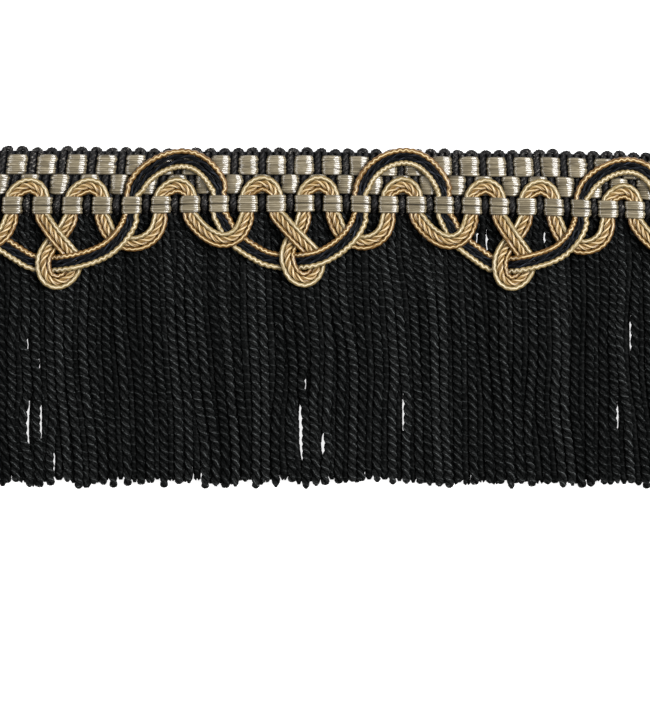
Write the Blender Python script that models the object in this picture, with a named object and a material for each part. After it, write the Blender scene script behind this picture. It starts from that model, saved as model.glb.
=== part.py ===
"""Bullion fringe: a cut length of furnishing trimming, lying on its back with its face up.

The length runs along X and the heading is at +Y, so the skirt of twisted cords reaches towards -Y.
All sizes below are millimetres. Drops are measured from the middle line of the lowest satin row,
towards the skirt, and blocks are counted from the block nearest the middle of the length.
"""
import math
import random

import bmesh
import bpy
from mathutils import Vector

MM = 0.001

# Satin blocks, which set the pitch of the whole braid and its cut length
BLOCKS = 25
BLOCK_PITCH = 6.38
PITCH_DRIFT = -0.0158      # the braid is pulled a little longer at its left end
MIDDLE_BLOCK = 1.3         # X of the middle block: the skirt leans past the heading's right end

# How the heading lies
ROW_LINE = 25.6            # Y of the middle line of the lowest satin row
LIE = (                    # X from the middle block, rise of the heading there
    (-82.0, -0.20),
    (-52.0, -0.25),
    (-22.0, 0.20),
    (-6.0, 0.28),
    (18.0, -0.05),
    (43.0, -0.50),
    (63.0, -1.10),
    (80.0, -1.80),
)

# Heading cloth
CLOTH_TOP = 1.0
CLOTH_VALLEY = 0.8
CLOTH_FOOT = 2.25          # drop of the cloth's lower edge
PICOT_TABLE = (            # place in one picot, drop of the edge, height of the cloth
    (0, -11.2, CLOTH_VALLEY),
    (1, -12.25, CLOTH_TOP),
    (2, -12.6, 0.9),
    (3, -12.25, CLOTH_TOP),
)
PICOT_BEVEL = 0.4
PICOT_JITTER = 0.22
PICOT_SEED = 11
STEPS_PER_BLOCK = 8

# Satin rows
CLEAR = 0.3
ROW_FLOOR = CLOTH_TOP + CLEAR
ROWS = (                   # name, drop of the upper edge, drop of the lower edge, shift in blocks
    ("satin_row_top", -10.8, -6.8, 0.0),
    ("satin_row_middle", -6.5, -2.4, 0.5),
)
ROW_NECK = 0.3
ROW_CROWN = 0.55
ROW_FOOT_AT = 0.37         # half of a block's foot, in blocks
ROW_CROWN_AT = 0.24
HOLDING_ROW = ("satin_row_bottom", -1.7, 2.1)
HOLDING_OUTSIDE = ((2.72, 0.35), (1.86, 2.3))   # from a block's middle, above the row's floor
HOLDING_INSIDE = ((2.46, 0.0), (1.66, 1.95))

# Scroll gimps
GIMP_HEIGHT = 0.8
CREAM_WIDTH = 3.75
BLACK_GOLD_WIDTH = 3.85
HELD_WIDTH = 3.2           # where a satin block holds it down
HELD_DROP = 2.2
WIDEN_DROP = 1.5           # it is full width this far past the block
GIMP_SECTION = (           # across and up, in halves of the width and height
    (-1.0, 0.0),
    (-0.72, 1.0),
    (0.0, 0.5),
    (0.72, 1.0),
    (1.0, 0.0),
    (0.7, -1.0),
    (-0.7, -1.0),
)
GIMP_LONG_STEP = 2.6
GIMP_TURN = math.radians(24)
GIMP_END = 2.0             # the gimps stop this far inside the cut ends
CURVE_PIECES = 12
ON_HEADING = 2.55
ON_SKIRT = 3.45
OVER_ONE = 4.58

# Bullion skirt
CORD_PITCH = 1.59
CORD_HALF = 0.9            # half of a cord's width
ROOT_HALF = 0.46
ROOT_HEIGHT = 1.0
ROOT_STRIP = (2.55, 4.05)  # drops of its upper and lower edges
LAYER_STEP = 0.9           # the front cords lie this far above the back ones
SETTLE = 6.0               # the cords reach their full size this far below the root strip
SKIRT_DROP = 63.0
DROP_JITTER = 1.2
LEAN = math.radians(2.4)
SWAY = 0.4
SWAY_LENGTH = 52.0
SWAY_SHIFT = 0.012         # turns from one cord to the next
CORD_JITTER = 0.1
CORD_SEED = 5
CORD_STATIONS = (0.0, 2.4, SETTLE, 19.0, 33.0, 46.0)
TIP_LENGTH = 0.7
TIP_HALF = 0.5

# Finishes: colour and roughness
BLACK_FLOSS = ((0.012, 0.012, 0.014), 0.7)
SATIN_RAYON = ((0.60, 0.54, 0.38), 0.35)
CREAM_PLIES = ((0.66, 0.52, 0.30), 0.5)
GOLD_PLIES = ((0.30, 0.20, 0.08), 0.5)
CREASE = math.radians(50)

# One repeat of the scrolls, eight blocks long: blocks from its first block, drop, height, share of
# the knot's sideways pull
ARCH = (
    (0.0, -1.9, ON_HEADING, 0.0),
    (0.22, -3.45, ON_HEADING, 0.0),
    (0.52, -4.2, ON_HEADING, 0.0),
    (0.81, -3.5, ON_HEADING, 0.0),
    (1.0, -1.9, ON_HEADING, 0.0),
)
SWAG = (
    (-1.0, 2.4, ON_HEADING, 0.0),
    (-0.86, 3.9, 3.0, 0.0),
    (-0.58, 5.85, 3.7, 0.0),
    (-0.27, 7.3, 4.35, 0.0),
    (0.07, 8.05, OVER_ONE, 0.0),
    (0.43, 7.75, OVER_ONE, 0.0),
    (0.73, 6.3, 4.5, 0.0),
    (0.93, 4.2, 3.4, 0.0),
    (1.0, 2.4, ON_HEADING, 0.0),
)
KNOT = (
    (2.0, 2.3, ON_HEADING, 1.0),
    (2.22, 4.1, 3.4, 1.0),
    (2.49, 6.1, 4.35, 1.0),
    (2.83, 8.4, 4.52, 1.0),
    (3.16, 10.5, 3.8, 1.0),
    (3.43, 12.5, ON_SKIRT, 1.0),
    (3.47, 14.6, ON_SKIRT, 1.0),
    (3.31, 16.6, 3.6, 1.0),
    (3.0, 17.5, 4.0, 1.0),
    (2.66, 16.5, 4.45, 1.0),
    (2.47, 14.3, 4.64, 1.0),
    (2.41, 12.1, 4.53, 1.0),
    (2.48, 10.1, 3.65, 1.0),
    (2.64, 8.2, ON_SKIRT, 1.0),
    (2.83, 6.3, 3.25, 1.0),
    (2.96, 4.2, 2.85, 1.0),
    (3.0, 2.3, ON_HEADING, 1.0),
)
PASS_UNDER = (
    (4.0, 2.3, ON_HEADING, 0.0),
    (4.1, 4.0, 2.9, 0.0),
    (4.23, 5.95, 3.35, 0.0),
    (4.47, 7.75, ON_SKIRT, 0.0),
    (4.81, 8.75, ON_SKIRT, 0.0),
    (5.21, 8.9, ON_SKIRT, 0.0),
    (5.57, 8.05, ON_SKIRT, 0.0),
    (5.84, 6.4, 3.35, 0.0),
    (5.97, 4.2, 2.9, 0.0),
    (6.0, 2.4, ON_HEADING, 0.0),
)
SWOOP = (
    (0.0, -1.9, ON_HEADING, 0.0),
    (0.0, 2.2, ON_HEADING, 0.0),
    (0.16, 4.1, 2.9, 0.0),
    (0.36, 6.5, 3.4, 0.0),
    (0.65, 8.65, ON_SKIRT, 0.0),
    (0.97, 10.15, ON_SKIRT, 0.0),
    (1.31, 11.5, ON_SKIRT, 0.1),
    (1.66, 12.65, ON_SKIRT, 0.3),
    (2.04, 13.2, ON_SKIRT, 0.7),
    (2.44, 13.45, ON_SKIRT, 0.9),
    (2.71, 13.45, 3.48, 0.85),
    (2.93, 13.35, 4.2, 0.85),
    (3.13, 13.2, 4.8, 0.85),
    (3.46, 12.75, 4.78, 0.8),
    (3.86, 11.6, 4.66, 0.3),
    (4.22, 10.1, OVER_ONE, 0.0),
    (4.56, 8.15, OVER_ONE, 0.0),
    (4.81, 6.0, 4.35, 0.0),
    (4.96, 3.9, 3.3, 0.0),
    (5.0, 2.0, ON_HEADING, 0.0),
    (5.0, -1.9, ON_HEADING, 0.0),
    (5.11, -3.95, ON_HEADING, 0.0),
    (5.29, -6.1, ON_HEADING, 0.0),
    (5.59, -8.05, ON_HEADING, 0.0),
    (5.97, -9.55, ON_HEADING, 0.0),
    (6.47, -10.4, ON_HEADING, 0.0),
    (6.9, -10.2, ON_HEADING, 0.0),
    (7.26, -9.2, ON_HEADING, 0.0),
    (7.59, -7.4, ON_HEADING, 0.0),
    (7.84, -5.35, ON_HEADING, 0.0),
    (7.97, -3.6, ON_HEADING, 0.0),
)
REPEATS = (                # first block counted from the middle one, sideways pull of the knot
    (-20, -0.2),
    (-12, -0.21),
    (-4, 0.0),
    (4, -0.22),
    (12, -0.2),
)


def blend(low, high, amount):
    """Goes smoothly from low to high as amount goes from 0 to 1."""
    amount = min(max(amount, 0.0), 1.0)
    return low + (high - low) * amount * amount * (3 - 2 * amount)


def lie(x):
    """Rise of the heading at a distance along it, read smoothly from the table."""
    x -= MIDDLE_BLOCK
    for (x_low, rise_low), (x_high, rise_high) in zip(LIE, LIE[1:]):
        if x <= x_high:
            return blend(rise_low, rise_high, (x - x_low) / (x_high - x_low))
    return LIE[-1][1]


def block_x(blocks):
    """X of a place counted in blocks from the middle block."""
    return MIDDLE_BLOCK + BLOCK_PITCH * blocks + PITCH_DRIFT * blocks * blocks


def on_heading(x, drop, height):
    """A point at a drop from the row line, which follows the lie of the heading."""
    return Vector((x, ROW_LINE + lie(x) - drop, height))


def add_object(name, points, faces, finish, smooth=False):
    """Makes one closed object, in metres, with its own material."""
    colour, roughness = finish
    mesh = bpy.data.meshes.new(name)
    mesh.from_pydata([point * MM for point in points], [], faces)
    shape = bmesh.new()
    shape.from_mesh(mesh)
    bmesh.ops.triangulate(shape, faces=shape.faces[:])
    bmesh.ops.recalc_face_normals(shape, faces=shape.faces[:])
    shape.to_mesh(mesh)
    shape.free()
    if smooth:
        mesh.shade_smooth()
        mesh.set_sharp_from_angle(angle=CREASE)
    material = bpy.data.materials.new(name)
    material.use_nodes = True
    shader = material.node_tree.nodes["Principled BSDF"]
    shader.inputs["Base Color"].default_value = (*colour, 1.0)
    shader.inputs["Roughness"].default_value = roughness
    mesh.materials.append(material)
    made = bpy.data.objects.new(name, mesh)
    bpy.context.scene.collection.objects.link(made)
    return made


def join_rings(rings):
    """Faces of a closed body through rings of equal count, with both ends filled."""
    count = len(rings[0])
    points = [point for ring in rings for point in ring]
    faces = []
    for index in range(len(rings) - 1):
        start = index * count
        for side in range(count):
            after = (side + 1) % count
            faces.append((start + side, start + after, start + count + after, start + count + side))
    faces.append(tuple(range(count)))
    faces.append(tuple(len(points) - count + side for side in range(count)))
    return points, faces


def make_heading():
    """The woven black ground: a ribbed cloth whose weft turns stand up as picots along its edge."""
    chance = random.Random(PICOT_SEED)
    first = round((-BLOCKS / 2) * STEPS_PER_BLOCK)
    last = -first
    rings = []
    picot_rise = 0.0
    for step in range(first, last + 1):
        place, edge, height = PICOT_TABLE[step % len(PICOT_TABLE)]
        if place == 0:
            picot_rise = chance.uniform(-PICOT_JITTER, PICOT_JITTER)
        x = block_x(step / STEPS_PER_BLOCK)
        top = edge - (picot_rise if place else 0.0)
        rings.append([
            on_heading(x, CLOTH_FOOT, 0.0),
            on_heading(x, CLOTH_FOOT, height),
            on_heading(x, top + PICOT_BEVEL, height),
            on_heading(x, top, 0.0),
        ])
    points, faces = join_rings(rings)
    add_object("heading", points, faces, BLACK_FLOSS)


def row_section(x, upper, lower, bottom, top):
    """One cross section of a satin row."""
    return [
        on_heading(x, upper, bottom),
        on_heading(x, upper, top),
        on_heading(x, lower, top),
        on_heading(x, lower, bottom),
    ]


def make_satin_row(name, upper, lower, shift):
    """A warp band that floats over the cloth as a crowned block and dips between the blocks."""
    heights = (
        (-ROW_FOOT_AT, ROW_NECK),
        (-ROW_CROWN_AT, ROW_CROWN),
        (ROW_CROWN_AT, ROW_CROWN),
        (ROW_FOOT_AT, ROW_NECK),
    )
    half = BLOCKS // 2
    rings = []
    for block in range(-half, half + 1):
        middle = block + shift
        if middle > half:
            continue
        for offset, height in heights:
            x = block_x(middle + offset)
            rings.append(row_section(x, upper, lower, ROW_FLOOR, ROW_FLOOR + height))
    points, faces = join_rings(rings)
    add_object(name, points, faces, SATIN_RAYON)


def make_holding_row():
    """The lowest warp band, whose blocks bridge the scroll gimps and hold them down."""
    name, upper, lower = HOLDING_ROW
    half = BLOCKS // 2
    rings = []
    for block in range(-half, half + 1):
        middle = block_x(block)
        for side in (-1, 1):
            corners = list(zip(HOLDING_OUTSIDE, HOLDING_INSIDE))
            if side > 0:
                corners.reverse()
            for (out_x, out_height), (in_x, in_height) in corners:
                outer = ROW_FLOOR + out_height
                inner = ROW_FLOOR + in_height
                rings.append([
                    on_heading(middle + side * in_x, upper, inner),
                    on_heading(middle + side * out_x, upper, outer),
                    on_heading(middle + side * out_x, lower, outer),
                    on_heading(middle + side * in_x, lower, inner),
                ])
    points, faces = join_rings(rings)
    add_object(name, points, faces, SATIN_RAYON)


def smooth_curve(points):
    """A dense centripetal Catmull-Rom curve through the points."""
    dense = []
    for index in range(1, len(points) - 2):
        p0, p1, p2, p3 = points[index - 1:index + 3]
        t1 = math.sqrt((p1 - p0).length)
        t2 = t1 + math.sqrt((p2 - p1).length)
        t3 = t2 + math.sqrt((p3 - p2).length)
        for piece in range(CURVE_PIECES):
            t = t1 + (t2 - t1) * piece / CURVE_PIECES
            a1 = p0.lerp(p1, t / t1)
            a2 = p1.lerp(p2, (t - t1) / (t2 - t1))
            a3 = p2.lerp(p3, (t - t2) / (t3 - t2))
            b1 = a1.lerp(a2, t / t2)
            b2 = a2.lerp(a3, (t - t1) / (t3 - t1))
            dense.append(b1.lerp(b2, (t - t1) / (t2 - t1)))
    return dense


def gimp_route(stretches):
    """The smooth centre line of a gimp through every repeat, cut off at both ends of the heading."""
    route = []
    for first_block, pull in REPEATS:
        for stretch, start in stretches:
            for blocks, drop, height, share in stretch:
                x = block_x(first_block + start + blocks) + pull * share * max(drop - HOLDING_ROW[2], 0.0)
                route.append(on_heading(x, drop, height))
    first = block_x(-BLOCKS / 2) + GIMP_END
    last = block_x(BLOCKS / 2) - GIMP_END
    return [point for point in smooth_curve(route) if first < point.x < last]


def spaced(dense):
    """Drops points from a dense curve until they stand a step or a small turn apart."""
    kept = [0]
    for index in range(1, len(dense) - 1):
        from_last = dense[index] - dense[kept[-1]]
        old = dense[kept[-1] + 1] - dense[kept[-1]]
        new = dense[index + 1] - dense[index]
        if from_last.length >= GIMP_LONG_STEP or old.angle(new) >= GIMP_TURN:
            kept.append(index)
    kept.append(len(dense) - 1)
    return kept


def make_gimp(name, stretches, full_width, finish):
    """A flat corded gimp, swept along its route and pinched where a satin block holds it."""
    dense = gimp_route(stretches)
    rings = []
    for index in spaced(dense):
        centre = dense[index]
        before = dense[max(index - 1, 0)]
        after = dense[min(index + 1, len(dense) - 1)]
        along = (after - before).normalized()
        across = Vector((along.y, -along.x, 0.0)).normalized()
        up = across.cross(along)
        drop = abs(ROW_LINE + lie(centre.x) - centre.y)
        width = blend(HELD_WIDTH, full_width, (drop - HELD_DROP) / WIDEN_DROP)
        rings.append([
            centre + across * (side * width / 2) + up * (rise * GIMP_HEIGHT / 2)
            for side, rise in GIMP_SECTION
        ])
    points, faces = join_rings(rings)
    add_object(name, points, faces, finish, smooth=True)


def cord_centre(number, root, distance, jitter):
    """Centre of a skirt cord at a distance below the root strip: every second cord lies in front."""
    grown = blend(0.0, 1.0, distance / SETTLE)
    sway = SWAY * math.sin(math.tau * (distance / SWAY_LENGTH + number * SWAY_SHIFT))
    height = blend(ROOT_HEIGHT / 2, CORD_HALF, distance / SETTLE)
    if number % 2:
        height += LAYER_STEP * grown
    return Vector((
        root.x + math.tan(LEAN) * distance + (sway + jitter) * grown,
        root.y - distance,
        height,
    ))


def make_skirt():
    """Two nested layers of twisted cords, fused at the top into a narrow root strip."""
    chance = random.Random(CORD_SEED)
    left = block_x(-BLOCKS / 2)
    count = int((block_x(BLOCKS / 2) - left) / CORD_PITCH)
    upper, lower = ROOT_STRIP
    points = []
    faces = []
    cuts = []
    for number in range(count + 1):
        x = left + number * CORD_PITCH
        cut = []
        for drop, height in ((lower, 0.0), (lower, ROOT_HEIGHT), (upper, ROOT_HEIGHT), (upper, 0.0)):
            cut.append(len(points))
            points.append(on_heading(x, drop, height))
        cuts.append(cut)
    for before, after in zip(cuts, cuts[1:]):
        for side in (1, 2, 3):
            near = (side + 1) % 4
            faces.append((before[side], before[near], after[near], after[side]))
    faces.append(tuple(cuts[0]))
    faces.append(tuple(cuts[-1]))
    for number in range(count):
        root = on_heading(left + (number + 0.5) * CORD_PITCH, lower, 0.0)
        reach = SKIRT_DROP + chance.uniform(-DROP_JITTER, DROP_JITTER) - lower + lie(root.x)
        stations = [(distance, blend(ROOT_HALF, CORD_HALF, distance / SETTLE))
                    for distance in CORD_STATIONS]
        stations.append((reach - TIP_LENGTH, CORD_HALF))
        stations.append((reach, TIP_HALF))
        rings = []
        for distance, half in stations:
            centre = cord_centre(number, root, distance, chance.uniform(-CORD_JITTER, CORD_JITTER))
            ring = []
            for across, up in ((0, -half), (half, 0), (0, half), (-half, 0)):
                ring.append(len(points))
                points.append(centre + Vector((across, 0.0, up)))
            rings.append(ring)
        add_cord_faces(faces, cuts[number], cuts[number + 1], rings)
    add_object("bullion_skirt", points, faces, BLACK_FLOSS, smooth=True)


def add_cord_faces(faces, cut_left, cut_right, rings):
    """Joins a cord's first ring to its cell of the root strip's front, and skins the cord."""
    low, right, high, left = rings[0]
    corner_low_left, corner_high_left = cut_left[:2]
    corner_low_right, corner_high_right = cut_right[:2]
    faces.append((corner_low_left, corner_low_right, low))
    faces.append((corner_low_right, right, low))
    faces.append((corner_low_right, corner_high_right, right))
    faces.append((corner_high_right, high, right))
    faces.append((corner_high_right, corner_high_left, high))
    faces.append((corner_high_left, left, high))
    faces.append((corner_high_left, corner_low_left, left))
    faces.append((corner_low_left, low, left))
    for ring, below in zip(rings, rings[1:]):
        for side in range(4):
            after = (side + 1) % 4
            faces.append((ring[side], ring[after], below[after], below[side]))
    faces.append(tuple(rings[-1]))


CREAM_ROUTE = (            # stretch, block where it starts
    (SWAG, 0),
    (ARCH, 1),
    (KNOT, 0),
    (ARCH, 3),
    (PASS_UNDER, 0),
    (ARCH, 6),
)
BLACK_GOLD_ROUTE = (
    (SWOOP, 0),
)


def main():
    for old in list(bpy.data.objects):
        bpy.data.objects.remove(old)
    make_heading()
    for row in ROWS:
        make_satin_row(*row)
    make_holding_row()
    make_gimp("cream_gimp", CREAM_ROUTE, CREAM_WIDTH, CREAM_PLIES)
    make_gimp("black_gold_gimp", BLACK_GOLD_ROUTE, BLACK_GOLD_WIDTH, GOLD_PLIES)
    make_skirt()


main()
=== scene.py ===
import math
import random
from functools import partial

import bpy
import numpy as np
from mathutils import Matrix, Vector


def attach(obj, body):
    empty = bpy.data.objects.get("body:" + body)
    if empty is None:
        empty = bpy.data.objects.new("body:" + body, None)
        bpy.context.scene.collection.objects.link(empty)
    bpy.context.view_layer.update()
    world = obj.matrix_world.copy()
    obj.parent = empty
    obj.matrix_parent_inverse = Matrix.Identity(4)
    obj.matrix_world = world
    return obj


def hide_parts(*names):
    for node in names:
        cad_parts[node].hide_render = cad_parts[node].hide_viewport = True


# A cut length of bullion fringe on a pale floor, seen straight from above.
# Lengths in the tables are millimetres, drops are measured from the middle line of the lowest satin
# row towards the skirt, and blocks are counted from the satin block nearest the middle.

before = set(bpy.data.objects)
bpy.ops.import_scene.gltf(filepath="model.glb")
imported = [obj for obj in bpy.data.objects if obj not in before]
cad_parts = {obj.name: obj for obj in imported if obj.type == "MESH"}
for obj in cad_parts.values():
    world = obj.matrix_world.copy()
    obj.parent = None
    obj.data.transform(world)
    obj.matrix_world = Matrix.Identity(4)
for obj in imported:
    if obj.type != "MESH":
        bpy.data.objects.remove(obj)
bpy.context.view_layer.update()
mm = 0.001


# Helpers

def linearColour(hexColour):
    # an sRGB hex colour as linear RGBA
    channels = [int(hexColour[i:i + 2], 16) / 255 for i in (1, 3, 5)]
    return [c / 12.92 if c <= 0.04045 else ((c + 0.055) / 1.055) ** 2.4 for c in channels] + [1.0]


def feed(node, inputs):
    # sets a node's inputs, by name or in order: to a value, an output, or the first output of a node
    pairs = inputs.items() if isinstance(inputs, dict) else enumerate(inputs)
    for socket, value in pairs:
        if isinstance(value, bpy.types.Node):
            value = value.outputs[0]
        if isinstance(value, bpy.types.NodeSocket):
            node.id_data.links.new(value, node.inputs[socket])
        else:
            node.inputs[socket].default_value = value


def addNode(tree, kind, inputs=(), **settings):
    # one node with its settings and what feeds it
    node = tree.nodes.new(kind)
    for name, value in settings.items():
        setattr(node, name, value)
    feed(node, inputs)
    return node


def addMaterial(name):
    material = bpy.data.materials.new(name)
    material.use_nodes = True
    return material, material.node_tree.nodes["Principled BSDF"]


def smoothStep(low, high, amount):
    amount = min(max(amount, 0.0), 1.0)
    return low + (high - low) * amount * amount * (3 - 2 * amount)


def addObject(name, data):
    made = bpy.data.objects.new(name, data)
    bpy.context.scene.collection.objects.link(made)
    return made


def finishPiece(piece, slotName, *nodes):
    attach(piece, "root")
    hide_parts(*nodes)
    count = sum(len(face.vertices) - 2 for face in piece.data.polygons)
    print(f"{piece.name}: {count} triangles")


# How the heading lies

heading = {
    "blocks": 25,
    "blockPitch": 6.38,
    "pitchDrift": -0.0158,  # the braid is pulled a little longer at its left end
    "middleBlock": 1.3,  # X of the middle block
    "rowLine": 25.6,  # Y of the lowest satin row
    "lie": (  # X from the middle block, rise of the heading there
        (-82.0, -0.20), (-52.0, -0.25), (-22.0, 0.20), (-6.0, 0.28),
        (18.0, -0.05), (43.0, -0.50), (63.0, -1.10), (80.0, -1.80),
    ),
    "creep": (  # block, how far the braid has crept sideways there
        (-12.0, 0.0), (-7.0, 0.22), (-3.0, 0.1), (0.0, -0.1), (3.0, -0.33), (8.0, -0.5), (12.0, -0.55),
    ),
    "skew": (  # X from the middle block, sideways pull of the upper rows for each millimetre
        (-82.0, 0.135), (-50.0, 0.127), (-18.0, 0.027), (0.0, -0.015), (27.0, -0.045), (53.0, -0.08),
    ),
    "lift": (  # X from the middle block, how far the woven rows stand up there
        (-82.0, 0.4), (-58.0, 0.43), (-46.0, 0.35), (-35.0, 0.15), (-13.0, 0.03), (10.0, 0.0),
        (32.0, 0.18), (43.0, 0.22), (55.0, 0.36), (80.0, 0.33),
    ),
    "liftFrom": 3.0,  # the lift is reached this far above the lowest row
    "liftGain": 0.08,  # and it grows by this share for each millimetre above that row
    "archLean": (  # X from the middle block, sideways pull of the arches for each millimetre
        (-82.0, 0.13), (-50.0, 0.12), (-35.0, 0.09), (-18.0, 0.02), (0.0, 0.0), (48.0, 0.0), (60.0, 0.11),
    ),
    "archRise": (  # and how high they rise there, as a share
        (-50.0, 1.0), (-40.0, 0.945), (-28.0, 0.945), (-18.0, 1.0), (48.0, 1.0), (58.0, 0.91),
    ),
    # X from the middle block, how much further apart the cords of a big arch lie there
    "archSpread": ((-50.0, 1.0), (-43.0, 1.22), (-27.0, 1.22), (-20.0, 1.0)),
}


def lieAt(x):
    # how far the heading has risen at X
    x -= heading["middleBlock"]
    for (xLow, riseLow), (xHigh, riseHigh) in zip(heading["lie"], heading["lie"][1:]):
        if x <= xHigh:
            return smoothStep(riseLow, riseHigh, (x - xLow) / (xHigh - xLow))
    return heading["lie"][-1][1]


def fromTable(name, place):
    return float(np.interp(place, *zip(*heading[name])))


def atPlace(name, x):
    return fromTable(name, x - heading["middleBlock"])


def blockX(blocks):
    x = heading["middleBlock"] + heading["blockPitch"] * blocks + heading["pitchDrift"] * blocks ** 2
    return x + fromTable("creep", blocks)


def onHeading(x, drop, height):
    return Vector((x, heading["rowLine"] + lieAt(x) - drop, height))


def onWeave(x, drop, height):
    # the woven rows lean and stand up more towards the ends of the length
    above = max(-drop, 0.0)
    lift = atPlace("lift", x) * (min(above / heading["liftFrom"], 1) ** 2 + heading["liftGain"] * above)
    return onHeading(x, drop, height) + Vector((atPlace("skew", x) * above, lift, 0.0))


halfBlocks = heading["blocks"] // 2
leftEnd = blockX(-heading["blocks"] / 2)
rightEnd = blockX(heading["blocks"] / 2)


# Camera, straight above, framed as the photograph is

photo = {
    "size": (650, 722),
    "pixelsPerMm": 4.447,
    "rowLineAt": 203.5,  # pixel row of the lowest satin row's middle line
    "middleBlockAt": 332.6,  # pixel column of the middle block
    "lens": 200.0,
    "nearest": 0.05,  # metres from the camera at which its view starts
}


def makeCamera():
    width, height = photo["size"]
    scale = photo["pixelsPerMm"]
    data = bpy.data.cameras.new("camera")
    data.lens = photo["lens"]
    camera = addObject("camera", data)
    distance = height / scale * data.lens / data.sensor_width  # the taller side fills the sensor
    camera.location = Vector((
        heading["middleBlock"] + (width / 2 - photo["middleBlockAt"]) / scale,
        heading["rowLine"] + (photo["rowLineAt"] - height / 2) / scale,
        distance,
    )) * mm
    data.clip_start = photo["nearest"]
    bpy.context.scene.camera = camera
    print("camera placed")


makeCamera()


# The cord tree: lines become cords of twisted plies

plainCord = {  # a single strand, not twisted: each cord says what differs in it
    "lay": 1e6,  # length of one full turn
    "twistWidth": 0.0,  # how far a ply runs beside the cord's middle
    "twistHeight": 0.0,  # and above it
    "flatten": 1.0,  # how much wider than thick a ply lies on its cord
    "plies": 1,
    "sides": 6,
    "hand": 1.0,  # 1 or -1, the way that the plies turn
    "endLoop": 0.001,  # the plies meet over this length, as one folded yarn
    "phase": 0.25,  # where its first ply starts, in turns: on top
}
cordLengths = ("lay", "step", "plyRadius", "twistWidth", "twistHeight", "endLoop")
loopDraw = 0.7  # how soon a ply stops being drawn towards the end of its loop
restGap = 0.02  # lowest height of a cord over the floor


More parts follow.
